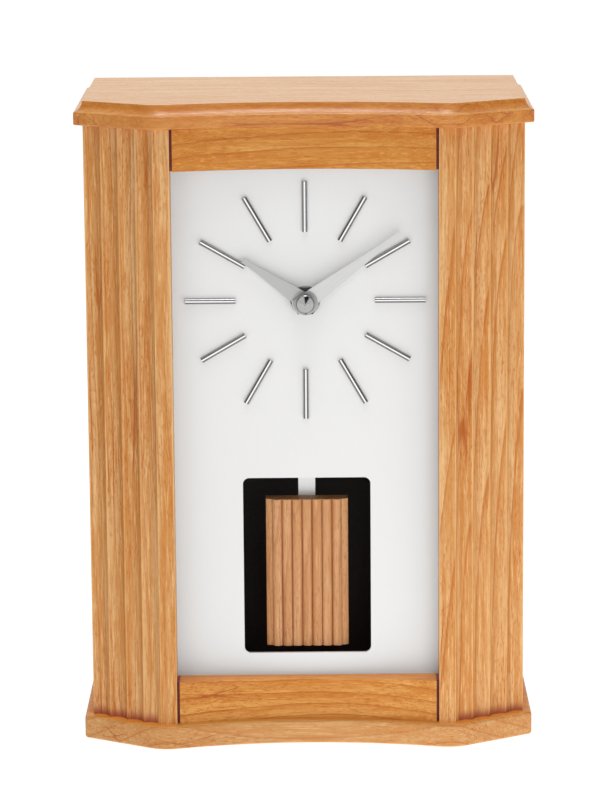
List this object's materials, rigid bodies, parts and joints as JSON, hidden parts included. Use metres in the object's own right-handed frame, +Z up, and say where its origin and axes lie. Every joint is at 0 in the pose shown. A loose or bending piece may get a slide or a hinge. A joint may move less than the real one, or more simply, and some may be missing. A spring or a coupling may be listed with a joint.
{
  "type": "desk pendulum clock",
  "caption": "Free-standing wooden desk clock with fluted corner columns, an open white dial with bar markers and a pendulum with a ribbed bob swinging behind a window.",
  "frame": {"origin": "centre of the resting plane under the felt feet", "axes": "+X to the clock's right seen from the front, +Y to the back, +Z up"},
  "size_m": [0.213, 0.121, 0.306],
  "materials": {
    "case_wood": "satin lacquer over honey coloured wood",
    "bob_wood": "satin, tan wood",
    "raw_wood": "bare wood",
    "black_board": "matte black paint on hardboard",
    "dial_white": "semi gloss white",
    "marker_chrome": "polished",
    "hand_metal": "satin",
    "nut_metal": "dark",
    "rod_metal": "satin",
    "steel": "plain",
    "brass": "plain",
    "copper_wire": "enamelled wire",
    "black_plastic": "moulded",
    "wheel_plastic": "moulded",
    "board_green": "lacquered",
    "cell_jacket": "plain jacket",
    "felt": "felt"
  },
  "bodies": {
    "case": {"base_board": "case_wood", "top_cap": "case_wood", "left_column": "case_wood", "right_column": "case_wood", "top_rail": "case_wood", "bottom_rail": "case_wood", "left_side_panel": "case_wood", "right_side_panel": "case_wood", "back_panel": "black_board", "turn_button_screws": "brass", "felt_feet": "felt", "case_screws": "steel", "cap_dowels": "raw_wood", "left_dial_batten": "raw_wood", "right_dial_batten": "raw_wood", "dial_plate": "dial_white", "hour_markers": "marker_chrome", "dial_washer": "nut_metal", "mounting_nut": "nut_metal", "movement_housing": "black_plastic", "movement_cover": "black_plastic", "battery": "cell_jacket", "positive_contact": "steel", "negative_contact": "steel", "circuit_board": "board_green", "quartz_crystal": "steel", "motor_stator": "steel", "motor_coil": "copper_wire", "hanger_pin": "steel", "drive_coil": "copper_wire"},
    "minute_work": {"minute_arbor": "brass", "minute_hand": "hand_metal", "hand_cap_nut": "hand_metal"},
    "hour_work": {"hour_wheel": "wheel_plastic", "hour_hand": "hand_metal"},
    "setting_work": {"motion_wheel": "wheel_plastic", "setting_knob": "black_plastic"},
    "rotor": {"motor_rotor": "wheel_plastic"},
    "intermediate": {"intermediate_wheel": "wheel_plastic"},
    "seconds": {"seconds_wheel": "wheel_plastic"},
    "third": {"third_wheel": "wheel_plastic"},
    "centre": {"centre_wheel": "wheel_plastic"},
    "pendulum": {"pendulum_hanger": "wheel_plastic", "drive_magnet": "steel", "pendulum_rod": "rod_metal", "pendulum_bob": "bob_wood", "bob_screws": "steel"},
    "left_button": {"left_turn_button": "brass"},
    "right_button": {"right_turn_button": "brass"}
  },
  "joints": [
    {"name": "minute_hand_turn", "type": "hinge", "parent": "case", "child": "minute_work", "pos_m": [0, -0.042, 0.2125], "axis": [0, 1, 0], "continuous": true},
    {"name": "hour_hand_turn", "type": "hinge", "parent": "case", "child": "hour_work", "pos_m": [0, -0.042, 0.2125], "axis": [0, 1, 0], "continuous": true},
    {"name": "setting_knob_turn", "type": "hinge", "parent": "case", "child": "setting_work", "pos_m": [0.0115, -0.022, 0.2125], "axis": [0, 1, 0], "continuous": true},
    {"name": "rotor_turn", "type": "hinge", "parent": "case", "child": "rotor", "pos_m": [-0.007, -0.0278, 0.224], "axis": [0, 1, 0], "continuous": true},
    {"name": "intermediate_wheel_turn", "type": "hinge", "parent": "case", "child": "intermediate", "pos_m": [0, -0.0278, 0.224], "axis": [0, 1, 0], "continuous": true},
    {"name": "seconds_wheel_turn", "type": "hinge", "parent": "case", "child": "seconds", "pos_m": [0, -0.0278, 0.2125], "axis": [0, 1, 0], "continuous": true},
    {"name": "third_wheel_turn", "type": "hinge", "parent": "case", "child": "third", "pos_m": [-0.0115, -0.0278, 0.2125], "axis": [0, 1, 0], "continuous": true},
    {"name": "centre_wheel_turn", "type": "hinge", "parent": "case", "child": "centre", "pos_m": [0, -0.0278, 0.2125], "axis": [0, 1, 0], "continuous": true},
    {"name": "pendulum_swing", "type": "hinge", "parent": "case", "child": "pendulum", "pos_m": [0, -0.0304, 0.1784], "axis": [0, 1, 0], "range_deg": [-7, 7]},
    {"name": "left_button_turn", "type": "hinge", "parent": "case", "child": "left_button", "pos_m": [-0.0987, 0.0568, 0.1535], "axis": [0, 1, 0], "range_deg": [-90, 0]},
    {"name": "right_button_turn", "type": "hinge", "parent": "case", "child": "right_button", "pos_m": [0.0987, 0.0568, 0.1535], "axis": [0, 1, 0], "range_deg": [0, 90]}
  ],
  "couplings": [
    {"joint": "hour_hand_turn", "follows": "minute_hand_turn", "ratio": 0.083333},
    {"joint": "setting_knob_turn", "follows": "minute_hand_turn", "ratio": -0.33333},
    {"joint": "intermediate_wheel_turn", "follows": "rotor_turn", "ratio": -0.16667},
    {"joint": "seconds_wheel_turn", "follows": "rotor_turn", "ratio": 0.033333},
    {"joint": "third_wheel_turn", "follows": "rotor_turn", "ratio": -0.0044444},
    {"joint": "centre_wheel_turn", "follows": "rotor_turn", "ratio": 0.00055556}
  ]
}
